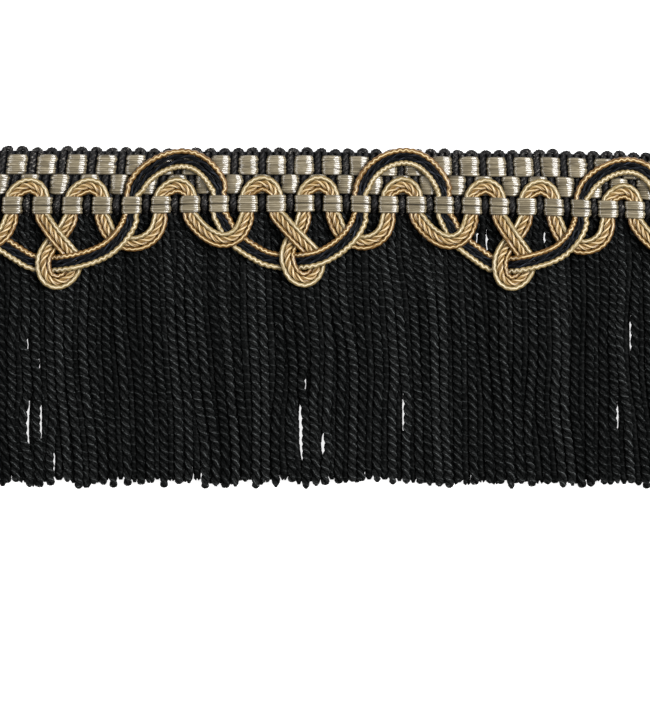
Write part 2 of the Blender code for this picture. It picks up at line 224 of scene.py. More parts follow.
def buildCordTree():
    tree = bpy.data.node_groups.new("twistedCord", "GeometryNodeTree")
    sockets = {
        "Geometry": "Geometry", **dict.fromkeys(cordLengths, "Float"), "flatten": "Float", "hand": "Float",
        "plies": "Int", "sides": "Int", "Material": "Material",
    }
    for name, kind in sockets.items():
        tree.interface.new_socket(name, in_out="INPUT", socket_type="NodeSocket" + kind)
    tree.interface.new_socket("Geometry", in_out="OUTPUT", socket_type="NodeSocketGeometry")
    add = partial(addNode, tree)
    given = add("NodeGroupInput").outputs
    floats = {
        name: add("GeometryNodeInputNamedAttribute", {"Name": name}, data_type="FLOAT")
        for name in ("phase", "girth", "spread", "along")
    }
    vectors = {
        name: add("GeometryNodeInputNamedAttribute", {"Name": name}, data_type="FLOAT_VECTOR")
        for name in ("outwards", "round")
    }

    # smooth lines with a ring at each step, their side vector level
    line = add("GeometryNodeMeshToCurve", {"Mesh": given["Geometry"]})
    line = add("GeometryNodeCurveSplineType", {"Curve": line}, spline_type="CATMULL_ROM")
    line = add("GeometryNodeResampleCurve", {"Curve": line, "Length": given["step"]}, mode="LENGTH")
    line = add("GeometryNodeSetCurveNormal", {"Curve": line}, mode="Z_UP")
    place = add("GeometryNodeSplineParameter").outputs["Length"]
    total = add("GeometryNodeSplineLength").outputs["Length"]
    line = add("GeometryNodeStoreNamedAttribute",
               {"Geometry": line, "Name": "along", "Value": place}, data_type="FLOAT")
    copies = add("GeometryNodeDuplicateElements",
                 {"Geometry": line, "Amount": given["plies"]}, domain="SPLINE")

    # the angle of a ply round the cord
    turns = add("ShaderNodeMath", [place, given["lay"]], operation="DIVIDE")
    turns = add("ShaderNodeMath", [turns, given["hand"], floats["phase"]], operation="MULTIPLY_ADD")
    share = add("ShaderNodeMath", [copies.outputs["Duplicate Index"], given["plies"]], operation="DIVIDE")
    turns = add("ShaderNodeMath", [turns, share], operation="ADD")
    angle = add("ShaderNodeMath", [turns, math.tau], operation="MULTIPLY")
    cosine = add("ShaderNodeMath", [angle], operation="COSINE")
    sine = add("ShaderNodeMath", [angle], operation="SINE")

    # the plies close on each other at the line's end
    toEnd = add("ShaderNodeMath", [total, place], operation="SUBTRACT")
    closing = add("ShaderNodeMapRange", {"Value": toEnd, 2: given["endLoop"], 3: 0.0, 4: math.pi / 2})
    opened = add("ShaderNodeMath", [closing], operation="SINE")
    opened = add("ShaderNodeMath", [opened], operation="SQRT")
    opened = add("ShaderNodeMath", [opened, floats["spread"]], operation="MULTIPLY")
    ratio = add("ShaderNodeMath", [toEnd, given["endLoop"]], operation="DIVIDE")
    drawn = add("ShaderNodeMath", [ratio, loopDraw], operation="MULTIPLY")
    drawn = add("ShaderNodeMath", [drawn, ratio, 1.0], operation="MULTIPLY_ADD")
    drawn = add("ShaderNodeMath", [toEnd, drawn], operation="DIVIDE")

    # each ply moves off the middle of its cord, and carries the direction in which it lies from there
    side = add("GeometryNodeInputNormal")
    forward = add("GeometryNodeInputTangent")
    up = add("ShaderNodeVectorMath", [side, forward], operation="CROSS_PRODUCT")
    offset = outwards = (0.0, 0.0, 0.0)
    for direction, turned, reach in ((side, cosine, "twistWidth"), (up, sine, "twistHeight")):
        away = add("ShaderNodeMath", [turned, given[reach]], operation="MULTIPLY")
        away = add("ShaderNodeMath", [away, opened], operation="MULTIPLY")
        away = add("ShaderNodeVectorMath", {0: direction, "Scale": away}, operation="SCALE")
        offset = add("ShaderNodeVectorMath", [offset, away], operation="ADD")
        away = add("ShaderNodeVectorMath", {0: direction, "Scale": turned}, operation="SCALE")
        outwards = add("ShaderNodeVectorMath", [outwards, away], operation="ADD")
    slide = add("ShaderNodeVectorMath", {0: forward, "Scale": drawn}, operation="SCALE")
    offset = add("ShaderNodeVectorMath", [offset, slide], operation="ADD")
    plies = add("GeometryNodeStoreNamedAttribute",
                {"Geometry": copies, "Name": "outwards", "Value": outwards}, data_type="FLOAT_VECTOR")
    plies = add("GeometryNodeSetPosition", {"Geometry": plies, "Offset": offset})
    plies = add("GeometryNodeSetCurveNormal", {"Curve": plies, "Normal": vectors["outwards"]}, mode="FREE")

    # skin the plies, and keep where each point lies on its strand: round it, and along it in millimetres
    ring = add("GeometryNodeCurvePrimitiveCircle", {"Resolution": given["sides"], "Radius": 1.0})
    spot = add("GeometryNodeInputPosition")
    ring = add("GeometryNodeStoreNamedAttribute",
               {"Geometry": ring, "Name": "round", "Value": spot}, data_type="FLOAT_VECTOR")
    flat = add("ShaderNodeCombineXYZ", {"X": 1.0, "Y": given["flatten"], "Z": 1.0})
    ring = add("GeometryNodeTransform", {"Geometry": ring, "Scale": flat})
    radius = add("ShaderNodeMath", [floats["girth"], given["plyRadius"]], operation="MULTIPLY")
    skin = add("GeometryNodeCurveToMesh", {
        "Curve": plies, "Profile Curve": ring, "Scale": radius, "Fill Caps": True})
    along = add("ShaderNodeMath", [floats["along"], 1 / mm], operation="MULTIPLY")
    along = add("ShaderNodeCombineXYZ", {"Z": along})
    strand = add("ShaderNodeVectorMath", [vectors["round"], along], operation="ADD")
    skin = add("GeometryNodeStoreNamedAttribute",
               {"Geometry": skin, "Name": "strand", "Value": strand}, data_type="FLOAT_VECTOR")

    # soft yarn that reaches the table lies flat on it
    spot = add("ShaderNodeSeparateXYZ", [add("GeometryNodeInputPosition")]).outputs
    rested = add("ShaderNodeMath", [spot["Z"], restGap * mm], operation="MAXIMUM")
    rested = add("ShaderNodeCombineXYZ", {"X": spot["X"], "Y": spot["Y"], "Z": rested})
    skin = add("GeometryNodeSetPosition", {"Geometry": skin, "Position": rested})
    skin = add("GeometryNodeSetShadeSmooth", {"Geometry": skin})
    skin = add("GeometryNodeRealizeInstances", {"Geometry": skin})
    skin = add("GeometryNodeSetMaterial", {"Geometry": skin, "Material": given["Material"]})
    add("NodeGroupOutput", {"Geometry": skin})
    print("cord tree built")
    return tree


cordTree = buildCordTree()


def makeLine(points, phase, tone, girth=None, spread=None):
    # phase is in turns, tone is from dark to light, girth and spread scale the plies and their distance
    return {
        "points": points,
        "phase": phase if isinstance(phase, list) else [phase] * len(points),
        "tone": [tone] * len(points),
        "girth": girth or [1.0] * len(points),
        "spread": spread or [1.0] * len(points),
    }


def growCords(name, lines, cord, material):
    # runs the cord tree on the lines and returns the plies as a plain mesh
    points = []
    edges = []
    for line in lines:
        start = len(points)
        points += [point * mm for point in line["points"]]
        edges += [(i, i + 1) for i in range(start, len(points) - 1)]
    mesh = bpy.data.meshes.new(name + "Lines")
    mesh.from_pydata(points, edges, [])
    for key in ("phase", "tone", "girth", "spread"):
        values = [value for line in lines for value in line[key]]
        mesh.attributes.new(key, "FLOAT", "POINT").data.foreach_set("value", values)
    carrier = addObject(name + "Lines", mesh)
    modifier = carrier.modifiers.new("cord", "NODES")
    modifier.node_group = cordTree
    values = {**cord, **{key: cord[key] * mm for key in cordLengths}, "Material": material}
    for socket in cordTree.interface.items_tree:
        if socket.in_out == "INPUT" and socket.name in values:
            modifier[socket.identifier] = values[socket.name]
    graph = bpy.context.evaluated_depsgraph_get()
    grown = bpy.data.meshes.new_from_object(carrier.evaluated_get(graph))
    bpy.data.objects.remove(carrier)
    return addObject(name, grown)


# Finishes

plainYarn = {  # what the yarns share: each yarn says what differs in it
    "paintedCrestLightFrom": 0.0,  # the painted crest light fades to nothing at this cosine from the top of the ply, leaving the flanks in painted shade
    "swing": 0.0,  # how far the painted crest light and its painted highlight wander to both sides, in radians
    "swingLength": 1.0,  # and the length of its wander
    "strands": 5,
    "strandRelief": 1.0,
    "relief": 0.05,
    "bump": 0.8,
    "fibreDetail": 3.0,
    "breakScale": (1.0, 1.0, 1.0),
    "breakDetail": 2.0,
}
toneShift = 90.0  # how far apart cords of different tone read the fibre's noise


def yarnMaterial(name, yarn):
    # A twisted yarn: fine strands wind round each ply, whose crest is painted light and whose flanks are
    # painted dark, as shade where the ply turns under.
    yarn = {**plainYarn, **yarn}
    material, shader = addMaterial(name)
    add = partial(addNode, material.node_tree)
    strand = add("ShaderNodeAttribute", attribute_name="strand").outputs["Vector"]
    tone = add("ShaderNodeAttribute", attribute_name="tone").outputs["Fac"]
    parts = add("ShaderNodeSeparateXYZ", [strand]).outputs
    angle = add("ShaderNodeMath", [parts["Y"], parts["X"]], operation="ARCTAN2")
    wound = add("ShaderNodeMath", [parts["Z"], math.tau / yarn["strandPitch"]], operation="MULTIPLY")
    wave = add("ShaderNodeMath", [angle, yarn["strands"], wound], operation="MULTIPLY_ADD")
    wave = add("ShaderNodeMath", [wave], operation="SINE")
    wave = add("ShaderNodeMapRange", {"Value": wave, 1: -1.0})
    swing = add("ShaderNodeMath", [parts["Z"], math.tau / yarn["swingLength"]], operation="MULTIPLY")
    swing = add("ShaderNodeMath", [swing], operation="SINE")
    facing = add("ShaderNodeMath", [swing, yarn["swing"], angle], operation="MULTIPLY_ADD")
    facing = add("ShaderNodeMath", [facing], operation="COSINE")
    # painted light on the ply's crest, fading to painted shade on its flanks
    paintedCrestLight = add("ShaderNodeMapRange", {"Value": facing, 1: yarn["paintedCrestLightFrom"]})
    place = add("ShaderNodeVectorMath", [strand, yarn["fibreScale"]], operation="MULTIPLY")
    shift = add("ShaderNodeMath", [tone, toneShift], operation="MULTIPLY")
    place = add("ShaderNodeVectorMath", [place, shift], operation="ADD")
    fibre = add("ShaderNodeTexNoise", {"Vector": place, "Scale": 1.0, "Detail": yarn["fibreDetail"]})
    relief = add("ShaderNodeMath", [wave, yarn["strandRelief"], fibre], operation="MULTIPLY_ADD")
    bump = add("ShaderNodeBump", {
        "Height": relief, "Distance": yarn["relief"] * mm, "Strength": yarn["bump"]})

    # the mean of fibre, strand, crest and tone, each with its weight, picks the colour: the strands are
    # their own fine lines with painted shade in the grooves between them, and the crest term paints each ply
    # light on top and shaded on its flanks
    total = sum(yarn["weights"])
    shade = add("ShaderNodeMath", [fibre, yarn["weights"][0] / total], operation="MULTIPLY")
    for value, weight in zip((wave, paintedCrestLight, tone), yarn["weights"][1:]):
        shade = add("ShaderNodeMath", [value, weight / total, shade], operation="MULTIPLY_ADD")
    colour = add("ShaderNodeValToRGB", {"Fac": shade})
    ramp = colour.color_ramp.elements
    dark, middle, light = (linearColour(shade) for shade in yarn["shades"])
    ramp[0].position, ramp[1].position = yarn["reach"]
    ramp[0].color = dark
    ramp[1].color = light
    ramp.new(sum(yarn["reach"]) / 2).color = middle

    # a thin painted highlight along the crest, broken here and there; where lineFrom lies below -1, as in
    # the weft, it covers the whole ply and the breaks leave only light flecks of fibre
    thin = add("ShaderNodeMapRange", {"Value": facing, 1: yarn["lineFrom"], 2: (1 + yarn["lineFrom"]) / 2})
    place = add("ShaderNodeVectorMath", [place, yarn["breakScale"]], operation="MULTIPLY")
    broken = add("ShaderNodeTexNoise", {"Vector": place, "Scale": 1.0, "Detail": yarn["breakDetail"]})
    broken = add("ShaderNodeMapRange", {"Value": broken, 1: yarn["breaks"][0], 2: yarn["breaks"][1]})
    line = add("ShaderNodeMath", [thin, broken], operation="MULTIPLY")
    # the tone dims the painted highlight too, so that dark-toned cords show little of it
    line = add("ShaderNodeMath", [line, tone], operation="MULTIPLY")
    mixed = add("ShaderNodeMix",
                {"Factor": line, 6: colour, 7: linearColour(yarn["line"])}, data_type="RGBA")
    feed(shader, {
        "Base Color": mixed.outputs[2], "Normal": bump, "Roughness": yarn["roughness"],
        "Specular IOR Level": yarn["specular"],
    })
    if "sheen" in yarn:
        # light spreads across the threads, so that their crests join in one band
        across = add("ShaderNodeCombineXYZ", {"Y": 1.0})
        feed(shader, {"Tangent": across, "Anisotropic": yarn["sheen"], "IOR": yarn["ior"]})
    return material


# Weft of the heading: each cord comes up, turns over as a picot and goes down again

weft = {
    "place": 0.125,  # middle of a picot, in blocks from its satin block
    "legPlace": 0.125,  # how far its two legs stand from it, in blocks
    "turn": -11.05,  # drop at which the picot starts to turn
    "turnRadius": 0.64,
    "turnSteps": 6,
    "height": 0.7,
    # drop, rise in the spaces between the blocks of the lowest row, and how much thicker a leg is in its own
    # row's spaces: above 0 it is the lowest or top row, below 0 the middle row, whose blocks are shifted
    "legs": (
        (2.7, -0.1, 0.0), (1.5, 0.9, 0.15), (0.0, 1.8, 0.3), (-1.9, 0.25, 0.0), (-4.0, 0.0, -0.3),
        (-6.2, 0.0, 0.0), (-8.4, 0.0, 0.3),
    ),
    "sway": 0.09,
    "picotLean": 0.3,
    "rise": 0.22,  # how unevenly the picots stand up
    "seed": 11,
    "cord": {
        **plainCord, "lay": 2.6, "step": 0.34, "plyRadius": 0.42, "twistWidth": 0.21, "twistHeight": 0.21,
        "flatten": 1.2, "plies": 2, "hand": -1.0,
    },
    # Mercerised cotton, tightly plied: near black, with a dull grain of fibre.
    "yarn": {
        "shades": ("#0d0d0f", "#151517", "#2a2827"), "reach": (0.36, 0.66),
        "weights": (4, 1, 0.5, 0.5), "line": "#9a958e", "lineFrom": -1.5, "breakScale": (1.2, 1.2, 1.1),
        "breaks": (0.57, 0.72), "roughness": 0.55, "specular": 0.25, "strands": 3, "strandPitch": 1.3,
        "strandRelief": 0.5, "relief": 0.06, "fibreScale": (1.3, 1.3, 3.2),
    },
}


def makeWeft():
    chance = random.Random(weft["seed"])
    lines = []
    radius = heading["blockPitch"] * weft["legPlace"]
    for picot in range(-heading["blocks"], heading["blocks"]):
        middle = picot / 2 + weft["place"]
        rise = chance.uniform(-weft["rise"], weft["rise"])
        x = blockX(middle)
        lean = chance.uniform(-1, 1) * weft["picotLean"]
        points = []
        girths = []
        for side, order in ((-1, 1), (1, -1)):
            between = math.sin(math.pi * (middle + side * weft["legPlace"])) ** 2
            leg = []
            girth = []
            for drop, rising, gain in weft["legs"]:
                girth.append(1 + (between * gain if gain > 0 else (between - 1) * gain))
                leg.append(onWeave(x + side * radius + chance.uniform(-1, 1) * weft["sway"], drop,
                                   weft["height"] * girth[-1] + rising * between))
            leg.append(onWeave(x + side * radius, weft["turn"] - rise, weft["height"]))
            girth.append(1.0)
            points.append(leg[::order])
            girths.append(girth[::order])
        turn = [
            onWeave(x - radius * math.cos(angle) + lean * math.sin(angle),
                    weft["turn"] - rise - weft["turnRadius"] * math.sin(angle), weft["height"])
            for angle in (math.pi * i / weft["turnSteps"] for i in range(1, weft["turnSteps"]))
        ]
        girth = girths[0] + [1.0] * len(turn) + girths[1]
        lines.append(makeLine(points[0] + turn + points[1], chance.random(), chance.random(), girth, girth))
    piece = growCords("weftPicots", lines, weft["cord"], yarnMaterial("blackMercerisedWeft", weft["yarn"]))
    finishPiece(piece, "black_weft", "heading")


makeWeft()


# Ground: the thin black cloth under the weft

ground = {
    "upper": -11.3,
    "lower": 4.0,
    "thickness": 0.25,
    "height": 0.3,
    "columns": 300,
    "rows": 12,
    "ribHeight": 0.05,
    "dark": "#101013",
    "light": "#34343a",
    "grain": 0.25,  # size of the grain, about one thread of the cloth
    "detail": 3.0,
    "relief": 0.08,
    "bump": 0.6,
    "roughness": 0.8,
}


def groundMaterial():
    # Black cotton rep: matt, its ribs read only as a faint grain.
    material, shader = addMaterial("blackCottonRep")
    add = partial(addNode, material.node_tree)
    place = add("ShaderNodeTexCoord").outputs["Object"]
    grain = add("ShaderNodeTexNoise", {
        "Vector": place, "Scale": 1 / (ground["grain"] * mm), "Detail": ground["detail"]})
    bump = add("ShaderNodeBump", {
        "Height": grain, "Distance": ground["relief"] * mm, "Strength": ground["bump"]})
    colour = add("ShaderNodeValToRGB", {"Fac": grain})
    colour.color_ramp.elements[0].color = linearColour(ground["dark"])
    colour.color_ramp.elements[1].color = linearColour(ground["light"])
    feed(shader, {"Base Color": colour, "Normal": bump, "Roughness": ground["roughness"]})
    return material


def makeGround():
    columns = ground["columns"]
    rows = ground["rows"]
    points = []
    for column in range(columns + 1):
        x = leftEnd + (rightEnd - leftEnd) * column / columns
        rib = ground["ribHeight"] * (column % 2)
        for row in range(rows + 1):
            drop = ground["upper"] + (ground["lower"] - ground["upper"]) * row / rows
            points.append(onWeave(x, drop, ground["height"] + rib) * mm)
    faces = []
    for column in range(columns):
        for row in range(rows):
            corner = column * (rows + 1) + row
            faces.append((corner, corner + 1, corner + rows + 2, corner + rows + 1))
    mesh = bpy.data.meshes.new("groundCloth")
    mesh.from_pydata(points, [], faces)
    mesh.materials.append(groundMaterial())
    mesh.shade_smooth()
    piece = addObject("groundCloth", mesh)
    wall = piece.modifiers.new("thickness", "SOLIDIFY")
    wall.thickness = ground["thickness"] * mm
    wall.offset = -1.0
    finishPiece(piece, "black_weft", "heading")


makeGround()


# Satin rows: rayon warp threads float over the weft in blocks

upperRow = {
    "threads": 9, "slit": 0.0, "foot": 0.9, "crown": 1.7, "turn": 40, "flatten": 1.8, "tilt": 0.12,
    "bulge": ((0.0, 0.15, 0.3, 0.5, 0.7, 0.9, 1.0), (0.0, 0.02, 0.08, 0.2, 0.33, 0.47, 0.55)),
}
satin = {
    # upper and lower: drop of the outermost threads; slit: how far the row parts at its middle; half: half
    # width of a block; foot and crown: heights; turn: how sharply the threads turn down at the sides; bulge:
    # how far they have come down from the crown, by their distance from the block's middle; tilt: how
    # unevenly they lie; shift: in blocks
    "rows": {
        "satinRowTop": {
            **upperRow, "node": "satin_row_top", "upper": -10.02, "lower": -6.5, "half": 2.0, "shift": 0.0,
        },
        "satinRowMiddle": {
            **upperRow, "node": "satin_row_middle", "upper": -5.76, "lower": -2.3, "half": 1.86,
            "shift": 0.5,
        },
        "satinRowBottom": {
            "node": "satin_row_bottom", "upper": -1.21, "lower": 1.9, "threads": 8, "slit": 0.42,
            "half": 2.05, "foot": 0.7, "crown": 3.42, "turn": 60, "flatten": 1.5, "tilt": 0.04,
            "shift": 0.02,
            "bulge": (
                (0.0, 0.2, 0.35, 0.5, 0.65, 0.8, 0.9, 1.0),
                (0.0, 0.015, 0.05, 0.125, 0.205, 0.295, 0.36, 0.42),
            ),
        },
    },
    "closed": (-3, -2, 7),  # blocks of the lowest row that do not part
    "closedSlit": 0.1,
    "binding": {"drop": 0.345, "foot": 2.05, "inset": 0.1},  # a black thread lies in the slits
    "bindingCord": {**plainCord, "step": 0.4, "plyRadius": 0.07, "sides": 5},
    "bindingTone": 0.5,
    "steps": 8,  # points of a thread on each side of a block's middle
    "barrel": 0.08,  # the ends of the outer threads bow in towards the row's middle
    "outerReach": 0.97,  # and these threads are a little shorter
    "reachJitter": 0.06,
    "crownJitter": 0.05,
    "wander": 0.07,
    "rootHeight": 0.35,  # the threads go down to here between the weft
    "seed": 3,
    "cord": {**plainCord, "step": 0.38, "plyRadius": 0.26},
    # Bright rayon, hardly twisted: long parallel filaments with a sharp band of light across the block; each
    # thread is also painted light on its top and shaded on its flanks, with a thin painted highlight along
    # its top.
    "yarn": {
        "shades": ("#40382a", "#6d624b", "#8e8267"), "reach": (0.3, 0.75),
        "weights": (1.5, 0.5, 1.3, 1), "line": "#b8ac94", "lineFrom": 0.95, "breaks": (0.4, 0.6),
        "roughness": 0.32, "specular": 1.0, "sheen": 1.0, "ior": 1.78, "strandPitch": 30.0,
        "strandRelief": 0.7, "relief": 0.015, "bump": 0.25, "fibreScale": (1.6, 1.6, 0.5),
    },
}


def overBlock(row, top, foot):
    # across and height of a thread at each of its points over a block
    rest = top - foot - row["bulge"][1][-1]
    spots = []
    for step in range(-satin["steps"], satin["steps"] + 1):
        across = math.sin(step / satin["steps"] * math.pi / 2)
        height = top - float(np.interp(abs(across), *row["bulge"])) - rest * abs(across) ** row["turn"]
        spots.append((across, height))
    return spots


def makeSatinRow(name, material, chance):
    row = satin["rows"][name]
    last = row["threads"] - 1
    cord = {**satin["cord"], "flatten": row["flatten"]}
    lines = []
    for block in range(-halfBlocks, halfBlocks + 1):
        if block + row["shift"] >= heading["blocks"] / 2:
            continue
        middle = blockX(block + row["shift"])
        slit = row["slit"]
        if slit and block in satin["closed"]:
            slit = satin["closedSlit"]
        for thread in range(row["threads"]):
            drop = row["upper"] + (row["lower"] - row["upper"] - slit) * thread / last
            if thread > last / 2:
                drop += slit
            barrel = satin["barrel"] * (1 - 2 * thread / last)
            bend = chance.uniform(-1, 1) * satin["wander"]
            reach = row["half"] * (1 + chance.uniform(-satin["reachJitter"], satin["reachJitter"]))
            if thread in (0, last):
                reach *= satin["outerReach"]
            top = row["crown"] + chance.uniform(-satin["crownJitter"], satin["crownJitter"])
            tilt = chance.uniform(-1, 1) * row["tilt"]
            points = []
            for across, height in overBlock(row, top, row["foot"]):
                bowed = drop + bend * across + barrel * across ** 2
                points.append(onWeave(middle + across * reach, bowed, height + tilt * across))
            for end in (0, -1):
                foot = points[end].copy()
                foot.z = satin["rootHeight"]
                points.insert(0 if end == 0 else len(points), foot)
            lines.append(makeLine(points, cord["phase"], chance.random()))
    piece = growCords(name, lines, cord, material)
    finishPiece(piece, "satin_warp", row["node"])


def makeBinding():
    # the black thread that ties the lowest row: over its blocks in their slits, low between them
    row = satin["rows"]["satinRowBottom"]
    binding = satin["binding"]
    points = []
    for block in range(-halfBlocks, halfBlocks + 1):
        middle = blockX(block + row["shift"])
        for across, height in overBlock(row, row["crown"] - binding["inset"], binding["foot"]):
            if block in satin["closed"]:
                height = binding["foot"]
            points.append(onWeave(middle + across * row["half"], binding["drop"], height))
    cord = satin["bindingCord"]
    line = makeLine(points, cord["phase"], satin["bindingTone"])
    piece = growCords("bindingThread", [line], cord, yarnMaterial("blackBindingThread", weft["yarn"]))
    finishPiece(piece, "black_weft", "heading")


def makeSatin():
    chance = random.Random(satin["seed"])
    material = yarnMaterial("creamRayonFloat", satin["yarn"])
    for name in satin["rows"]:
        makeSatinRow(name, material, chance)
    makeBinding()


makeSatin()


# Scroll gimps: their routes, in blocks from the repeat's first block, drop, height and, where the point
# takes part in it, its share of the knot's sideways pull

onRows = 2.55
onSkirt = 3.45
overOne = 4.58
arch = (
    (0.0, -1.9, onRows), (0.22, -3.45, onRows), (0.52, -4.2, onRows), (0.81, -3.5, onRows),
    (1.0, -1.9, onRows),
)
swag = (
    (-1.0, 2.4, onRows), (-0.86, 3.95, 3.0), (-0.58, 6.05, 3.7), (-0.27, 7.6, 4.35), (0.07, 8.5, overOne),
    (0.43, 8.3, overOne), (0.73, 6.95, 4.5), (0.93, 4.45, 3.4), (1.0, 2.4, onRows),
)
knot = (
    (2.0, 2.3, onRows, 1.0), (2.22, 4.1, 3.4, 1.0), (2.49, 6.1, 4.35, 1.0), (2.83, 8.4, 4.52, 1.0),
    (3.16, 10.5, 3.8, 1.0), (3.43, 12.5, onSkirt, 1.0), (3.47, 14.6, onSkirt, 1.0),
    (3.31, 16.6, 3.6, 1.0), (3.0, 17.5, 4.0, 1.0), (2.66, 16.5, 4.45, 1.0), (2.47, 14.3, 4.64, 1.0),
    (2.41, 12.1, 4.53, 1.0), (2.48, 10.1, 3.65, 1.0), (2.64, 8.2, onSkirt, 1.0), (2.83, 6.3, 3.25, 1.0),
    (2.96, 4.2, 2.85, 1.0), (3.0, 2.3, onRows, 1.0),
)
passUnder = (
    (4.0, 2.3, onRows), (4.1, 4.0, 2.9), (4.23, 5.95, 3.35), (4.47, 7.75, onSkirt), (4.81, 8.75, onSkirt),
    (5.21, 8.9, onSkirt), (5.57, 8.05, onSkirt), (5.84, 6.4, 3.35), (5.97, 4.2, 2.9), (6.0, 2.4, onRows),
)
swoop = (
    (0.0, -1.9, onRows), (0.0, 2.2, onRows), (0.16, 4.1, 2.9), (0.36, 6.5, 3.4), (0.65, 8.65, onSkirt),
    (0.97, 10.15, onSkirt), (1.31, 11.5, onSkirt, 0.1), (1.66, 12.65, onSkirt, 0.3),
    (2.04, 13.2, onSkirt, 0.7), (2.44, 13.45, onSkirt, 0.9), (2.71, 13.45, 3.48, 0.85),
    (2.93, 13.35, 4.2, 0.85), (3.13, 13.2, 4.8, 0.85), (3.46, 12.75, 4.78, 0.8), (3.86, 11.6, 4.66, 0.3),
    (4.22, 10.1, overOne), (4.56, 8.15, overOne), (4.81, 6.0, 4.35), (4.96, 3.9, 3.3), (5.0, 2.0, onRows),
    (5.0, -1.9, onRows), (5.11, -3.95, onRows), (5.29, -6.1, onRows), (5.59, -8.05, onRows),
    (5.97, -9.55, onRows), (6.47, -10.4, onRows), (6.9, -10.2, onRows), (7.26, -9.2, onRows),
    (7.59, -7.4, onRows), (7.84, -5.35, onRows), (7.97, -3.6, onRows),
)
# Rayon gimp cord: softly lustrous filaments wound round a core, painted darker as shade where they turn
# under and painted light on the crest, with a thin painted highlight along it.
gimpYarn = {
    "reach": (0.15, 0.8), "weights": (1.4, 1.6, 1.8, 0.3), "paintedCrestLightFrom": 0.5, "lineFrom": 0.972,
    "breakScale": (0.4, 0.4, 0.6), "breaks": (0.25, 0.5), "roughness": 0.36, "specular": 0.5,
    "swing": 0.16, "swingLength": 1.3, "strandPitch": 5.0, "bump": 0.5, "fibreScale": (1.5, 1.5, 1.0),
}
gimps = {
    "repeats": ((-20, -0.2), (-12, -0.21), (-4, 0.0), (4, -0.22), (12, -0.2)),  # first block, pull
    "pullFrom": 2.1,  # the pull starts below the lowest satin row
    "end": 2.0,  # the gimps stop this far inside the cut ends
    "fullWidth": 3.75,
    "heldWidth": 3.0,  # where a satin block holds them down
    "heldDrop": 2.2,
    "widenDrop": 1.5,
    "curvePieces": 9,
    "waveLength": 1.3,  # the edge cords wave from side to side as their twist shows through
    "phaseStep": 0.3,  # the second of two like cords is this far ahead in its turns
    "tone": 0.8,
    # each gimp, by the name of its solid: the stretches of its route, each with the block
    # where it starts, whether it spreads in the big arches, and its cords: the yarn, the places across the
    # gimp and what differs from the edge cord
    "bands": {
        "cream_gimp": {
            "route": ((swag, 0), (arch, 1), (knot, 0), (arch, 3), (passUnder, 0), (arch, 6)),
            "spreads": False,
            "cords": {
                "creamGimpEdge": ("cream", (-1.26,), {"plyRadius": 0.5, "wave": 0.04}),
                "creamGimpPlies": ("honey", (0.0,), {
                    "lay": 5.6, "step": 0.35, "plyRadius": 0.37, "twistWidth": 0.4, "twistHeight": 0.26,
                    "plies": 3, "phase": 0.0, "hand": -1.0}),
                "creamGimpGold": ("gold", (1.27,), {"plyRadius": 0.48, "wave": 0.05}),
            },
        },
        "black_gold_gimp": {
            "route": ((swoop, 0),),
            "spreads": True,
            "cords": {
                "scrollGold": ("gold", (-1.41,), {"plyRadius": 0.57, "wave": 0.1}),
                "scrollBlack": ("black", (-0.47, 0.45), {
                    "lay": 7.5, "step": 0.5, "plyRadius": 0.33, "twistWidth": 0.22, "twistHeight": 0.16,
                    "plies": 2, "phase": 0.0}),
                "scrollCream": ("cream", (1.4,), {"plyRadius": 0.56, "wave": 0.12}),
            },
        },
    },
    "edgeCord": {**plainCord, "step": 0.21, "flatten": 1.05, "sides": 8, "wave": 0.0},
    "yarns": {
        "cream": {**gimpYarn, "shades": ("#604f2f", "#8f7b51", "#a9956b"), "line": "#f6e8c9"},
        "honey": {
            **gimpYarn, "shades": ("#654a20", "#9b7b47", "#bb9d6c"), "reach": (0.15, 0.75),
            "weights": (1.2, 2.2, 1.8, 0.3), "paintedCrestLightFrom": 0.4, "line": "#f8e2b8", "lineFrom": 0.94,
            "specular": 0.6, "swing": 0.0, "strands": 3, "strandPitch": 6.0, "relief": 0.06, "bump": 0.6,
        },
        "gold": {**gimpYarn, "shades": ("#4a3012", "#6f4f25", "#8a6836"), "line": "#f6dfae"},
        # Rayon floss, nearly untwisted: black, with long bluish painted highlights along its crests.
        "black": {
            "shades": ("#090a0b", "#0e0f12", "#1a1c20"), "reach": (0.3, 0.75),
            "weights": (1, 1.5, 1, 0.3), "line": "#434854", "lineFrom": 0.96, "breaks": (0.45, 0.6),
            "roughness": 0.4, "specular": 0.1, "strandPitch": 20.0, "fibreScale": (2.0, 2.0, 0.5),
        },
    },
}


def smoothCurve(points):
    # a dense centripetal Catmull-Rom curve, the kind that the solids follow too
    dense = []
    for i in range(1, len(points) - 2):
        around = points[i - 1:i + 3]
        times = [0.0]
        for start, end in zip(around, around[1:]):
            times.append(times[-1] + math.sqrt((end - start).length))
        for piece in range(gimps["curvePieces"]):
            time = times[1] + (times[2] - times[1]) * piece / gimps["curvePieces"]
            level = around
            for span in (1, 2):
                level = [
                    start.lerp(end, (time - times[j]) / (times[j + span] - times[j]))
                    for j, (start, end) in enumerate(zip(level, level[1:]))
                ]
            dense.append(level[0].lerp(level[1], (time - times[1]) / (times[2] - times[1])))
    return dense


def gimpRoute(stretches):
    route = []
    for firstBlock, pull in gimps["repeats"]:
        for stretch, start in stretches:
            for blocks, drop, height, *share in stretch:
                x = blockX(firstBlock + start + blocks)
                x += pull * sum(share) * max(drop - gimps["pullFrom"], 0.0)
                if drop < 0:
                    lean = atPlace("archLean", x)
                    drop *= atPlace("archRise", x)
                    x -= lean * drop
                route.append(onHeading(x, drop, height))
    first = leftEnd + gimps["end"]
    last = rightEnd - gimps["end"]
    return [point for point in smoothCurve(route) if first < point.x < last]


